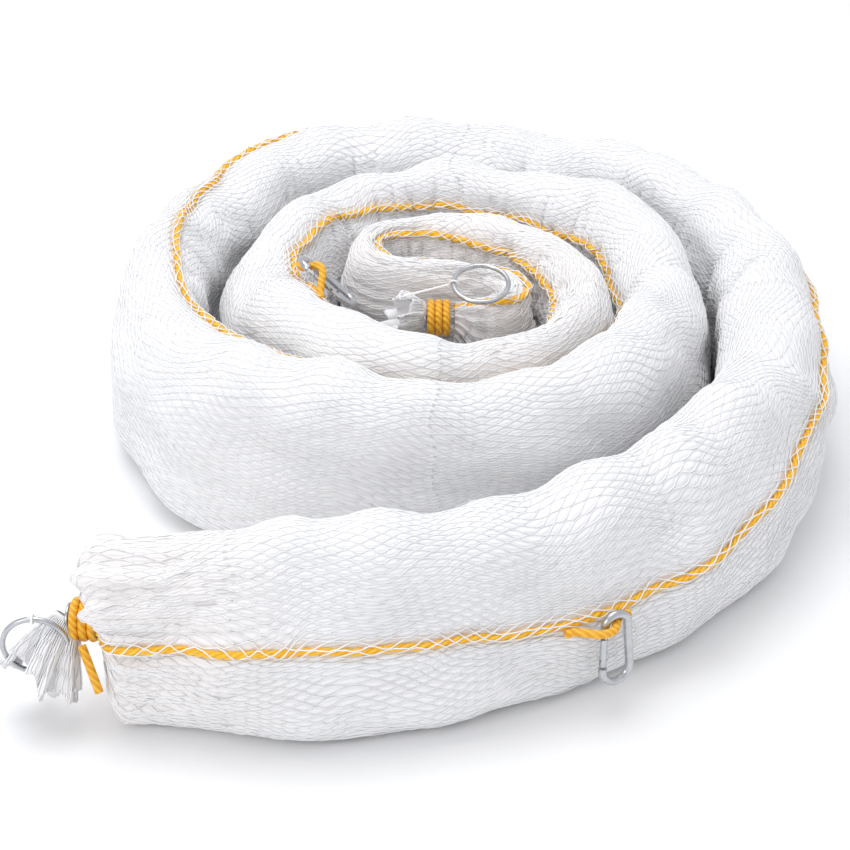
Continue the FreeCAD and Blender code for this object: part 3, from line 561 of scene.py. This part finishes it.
def net_piece(name, grid, facing, start, end, along_unit, lift_of, strands, length, warp):
    """Zigzag strands over a grid between two places along it. Each strand sways to one neighbour and
    back once a mesh, as a softened square wave, and so touches both in turn."""
    cells = np.arange(np.round(start / CELL * POINTS_PER_CELL),
                      np.round(end / CELL * POINTS_PER_CELL) + 1) / POINTS_PER_CELL
    number = np.arange(strands)
    sway = np.tanh(1.9 * np.sin(2 * pi * cells))[:, None] * np.where(number % 2 == 0, 1, -1)
    want_s = (cells * CELL)[:, None] * np.ones((1, strands))
    want_t = (number + 0.5 + 0.41 * sway) / strands
    place_s, place_t = want_s, want_t
    for _ in range(3):
        wander = warp(place_s, place_t)
        place_s, place_t = want_s - wander[..., 0], want_t - wander[..., 1]
    place_s = np.clip(place_s, 0, length)
    row, column = place_s / along_unit, place_t * grid.shape[1]
    up = on_grid(facing, row, column)
    up /= np.linalg.norm(up, axis=-1, keepdims=True)
    path = on_grid(grid, row, column) + up * (NET_STRAND * 0.7 + lift_of(place_s, place_t))[..., None]
    tangent = np.gradient(path, axis=0)
    tangent /= np.maximum(np.linalg.norm(tangent, axis=-1, keepdims=True), 1e-9)
    across = np.cross(tangent, up)
    across /= np.maximum(np.linalg.norm(across, axis=-1, keepdims=True), 1e-9)
    corner = np.array([pi / 2, pi / 2 + 2 * pi / 3, pi / 2 + 4 * pi / 3])
    ring = (np.cos(corner)[:, None] * across[..., None, :] * 1.15
            + np.sin(corner)[:, None] * up[..., None, :]) * NET_STRAND
    vertices = (path[..., None, :] + ring).transpose(1, 0, 2, 3)
    count = len(cells)
    one = np.array([f for f in tube_faces(count, NET_SIDES) if len(f) == 4])
    offsets = (np.arange(strands) * count * NET_SIDES)[:, None, None]
    quads = (one[None] + offsets).reshape(-1, 4)
    first_cap = np.array([[0, 1, 2]])
    last_cap = np.array([[2, 1, 0]]) + (count - 1) * NET_SIDES
    caps = (np.concatenate([first_cap, last_cap])[None] + offsets).reshape(-1, 3)
    piece = add_mesh(name, vertices, quads.tolist() + caps.tolist())
    piece.data.materials.append(net_paint.material)
    return piece


warp_grid = np.stack([warp_along, warp_round], -1)


def warp_at(place_s, place_t):
    return on_grid(warp_grid, place_s / step, (place_t % 1.0) * AROUND)


def no_warp(place_s, place_t):
    return np.zeros(place_s.shape + (2,))


def lift_over_rope(place_s, place_t):
    """Height of the net above the fleece, where it is drawn over the rope."""
    away = place_t - np.interp(place_s, s, rope_t)
    away = (away - np.round(away)) * 0.39
    return 2 * ROPE_RADIUS * 0.80 * np.exp(-(away / 0.0048) ** 2)


NET_ROUND = 0.39               # width of the net's tube laid flat and cut open


def yarn_area(piece):
    """Area the net's strands cover when it is laid flat: half their surface."""
    areas = np.zeros(len(piece.data.polygons))
    piece.data.polygons.foreach_get("area", areas)
    return float(areas.sum() / 2)


SLEEVE_ENDS = [0, 2, 4, 6, 8, 9, 10, 11, 12, 13, 14, 16, 17, 18, 20]
for i in range(14):
    low, high = ENDS[SLEEVE_ENDS[i]], ENDS[SLEEVE_ENDS[i + 1]]
    piece = net_piece("net_%02d" % (i + 1), tube, outwards, low, high, step, lift_over_rope,
                      STRANDS, TUBE_LENGTH, warp_at)
    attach(piece, "boom")
    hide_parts("net_sleeve_%02d" % (i + 1))
    yarn_area(piece)


# --- tied ends ------------------------------------------------------------------------------------
# Beyond each tie, where three turns of the rope wind round the neck, the net's end flares out as a
# ruffled frill with torn strands.
FRILL_ROWS = 14
FRILL_STRANDS = 110
FRILL_ROOT = 0.0085            # radius of the bunched net at the neck
CLOTH = 0.0010                 # thickness of the fleece inside the net
RUFFLES = ((6, 0.30), (11, 0.26), (17, 0.16))


def frill(name, node, root, out, droop, rim, reach, seed):
    """Ruffled cuff of net from a neck: out is its unit direction, droop its unit sag, rim its radius
    and reach its length. Its edge waves in and out and runs to uneven lengths."""
    ruffle = np.random.default_rng(seed)
    side = np.cross(out, droop)
    side /= np.linalg.norm(side)
    over = np.cross(side, out)
    u = np.linspace(0, 1, FRILL_ROWS)[:, None]
    a = 2 * pi * t[None, :]
    wave = sum(np.sin(lobes * a + ruffle.random() * 2 * pi) * depth for lobes, depth in RUFFLES)
    radius = FRILL_ROOT + (rim - FRILL_ROOT) * u ** 0.8 * (1 + wave * u * 0.9)
    length = reach * u * (1 + 0.16 * np.sin(3 * a + seed) + 0.12 * np.sin(8 * a + 2 * seed))
    centre = np.array(root) + length[..., None] * out + (0.45 * reach * u ** 2)[..., None] * droop
    cuff = centre + radius[..., None] * (np.cos(a)[..., None] * side + np.sin(a)[..., None] * over)
    cuff[..., 2] = np.maximum(cuff[..., 2], 0.002)
    faces_out = grid_normals(cuff)
    centre_line = centre.mean(axis=1, keepdims=True)
    turned = np.where(np.sum(faces_out * (cuff - centre_line), axis=-1, keepdims=True) < 0, -1.0, 1.0)
    cuff_step = reach / (FRILL_ROWS - 1)
    lining = cuff - faces_out * turned * CLOTH
    cloth = add_mesh(name + "_cloth", np.concatenate([cuff - faces_out * turned * CLOTH * 0.4,
                                                      lining[::-1]]),
                     tube_faces(2 * FRILL_ROWS, AROUND))
    cloth.data.materials.append(fleece.material)
    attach(cloth, "boom")
    flat_area = NET_ROUND * reach
    float(np.clip(yarn_area(cloth), 0.31 * flat_area, flat_area))
    piece = net_piece(name, cuff, faces_out * turned, 0, reach, cuff_step,
                      lambda place_s, place_t: 0.0 * place_s, FRILL_STRANDS, reach, no_warp)
    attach(piece, "boom")
    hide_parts(node)
    float(np.clip(yarn_area(piece), 0.31 * flat_area, flat_area))
    return piece


outer_low, outer_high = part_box("outer_net_frill")
inner_low, inner_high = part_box("inner_net_frill")
frill("outer_frill", "outer_net_frill",
      (outer_high.x, (outer_low.y + outer_high.y) / 2, (outer_low.z + outer_high.z) / 2),
      np.array((-0.52, -0.50, -0.693)), np.array((-0.1, -0.1, -0.99)), 0.025, 0.034, 3)
frill("inner_frill", "inner_net_frill",
      (inner_high.x, (inner_low.y + inner_high.y) / 2, (inner_low.z + inner_high.z) / 2),
      np.array((-0.80, -0.15, 0.58)) / 0.9995, np.array((-0.3, -0.2, -0.933)), 0.019, 0.024, 8)


# --- metal and the rope's ends --------------------------------------------------------------------
# Bright zinc-plated steel with a faint grey bloom, and rope with the lay of its strands and painted
# shade in its grooves.
zinc = Paint("bright_zinc")
zinc_here = zinc.node("TexCoord", {}, {}, 3)
bloom = noise(zinc, zinc_here, 160.0, 3.0)
drawn_lines = noise(zinc, zinc_here, 900.0, 2.0)
zinc.finish(Base_Color=blend_colours(zinc, bloom, colour(0.42, 0.43, 0.45), colour(0.66, 0.67, 0.69)),
            Metallic=1.0, Roughness=bloom * 0.20 + 0.18,
            Normal=zinc.node("Bump", {}, {"Strength": 0.15, "Distance": 0.0002, "Height": drawn_lines}))

laid = Paint("laid_yellow_rope")
laid_here = laid.node("TexCoord", {}, {}, 3)
lay_bands = laid.node("TexWave", {"bands_direction": "DIAGONAL"}, {
    "Vector": laid_here, "Scale": 95.0, "Distortion": 1.2, "Detail": 1.0, "Detail Scale": 2.0}, 1)
laid_fibres = noise(laid, laid_here, 1400.0, 2.0)
# Painted shade: the rope is painted darker orange along the low bands of its lay, the grooves between
# its strands, mixed with its fibres' own tone.
laid.finish(Base_Color=blend_colours(laid, lay_bands * 0.7 + laid_fibres * 0.3, colour(0.80, 0.30, 0.01),
                                     colour(1.0, 0.60, 0.04)),
            Roughness=0.45,
            Normal=laid.node("Bump", {}, {"Strength": 0.8, "Distance": 0.0009, "Height": lay_bands}))

FINISHES = {"ring": zinc, "hook": zinc, "gate": zinc, "pin": zinc, "spring": zinc, "clip": zinc,
            "tie": laid, "bight": laid, "rope": laid, "strand": net_paint}
for piece in list(bpy.data.objects):
    if piece.type != "MESH" or not piece.name.startswith(("outer_", "inner_")):
        continue
    for word in ("strand", "bight", "tie", "rope", "clip", "spring", "pin", "gate", "hook", "ring"):
        if word in piece.name and "frill" not in piece.name:
            for socket in piece.material_slots:
                socket.material = FINISHES[word].material
            break


# --- floor and light ------------------------------------------------------------------------------
# Pale floor, a broad soft light overhead and a weaker one from the front left.
floor_mesh = bpy.data.meshes.new("floor")
floor_mesh.from_pydata([(-6, -6, 0), (6, -6, 0), (6, 6, 0), (-6, 6, 0)], [], [(0, 1, 2, 3)])
floor = bpy.data.objects.new("floor", floor_mesh)
scene.collection.objects.link(floor)
floor_paint = Paint("pale_floor")
floor_paint.finish(Base_Color=colour(0.93, 0.93, 0.93), Roughness=0.9)
floor_mesh.materials.append(floor_paint.material)


def soft_light(name, where, aim, size, power, tint):
    data = bpy.data.lights.new(name, "AREA")
    data.shape = "DISK"
    data.size = size
    data.energy = power
    data.color = tint
    light = bpy.data.objects.new(name, data)
    light.location = where
    light.rotation_euler = (Vector(aim) - Vector(where)).to_track_quat("-Z", "Y").to_euler()
    scene.collection.objects.link(light)


soft_light("overhead", (-0.4, 0.3, 2.4), (0, 0, 0), 1.8, 26, (0.97, 0.98, 1.0))
soft_light("front_left", (-1.8, -2.0, 1.6), (0, 0, 0.05), 1.2, 14, (0.98, 0.98, 1.0))
world = bpy.data.worlds.new("studio")
world.use_nodes = True
world.node_tree.nodes["Background"].inputs["Color"].default_value = (0.96, 0.97, 1.0, 1)
world.node_tree.nodes["Background"].inputs["Strength"].default_value = 0.80
scene.world = world
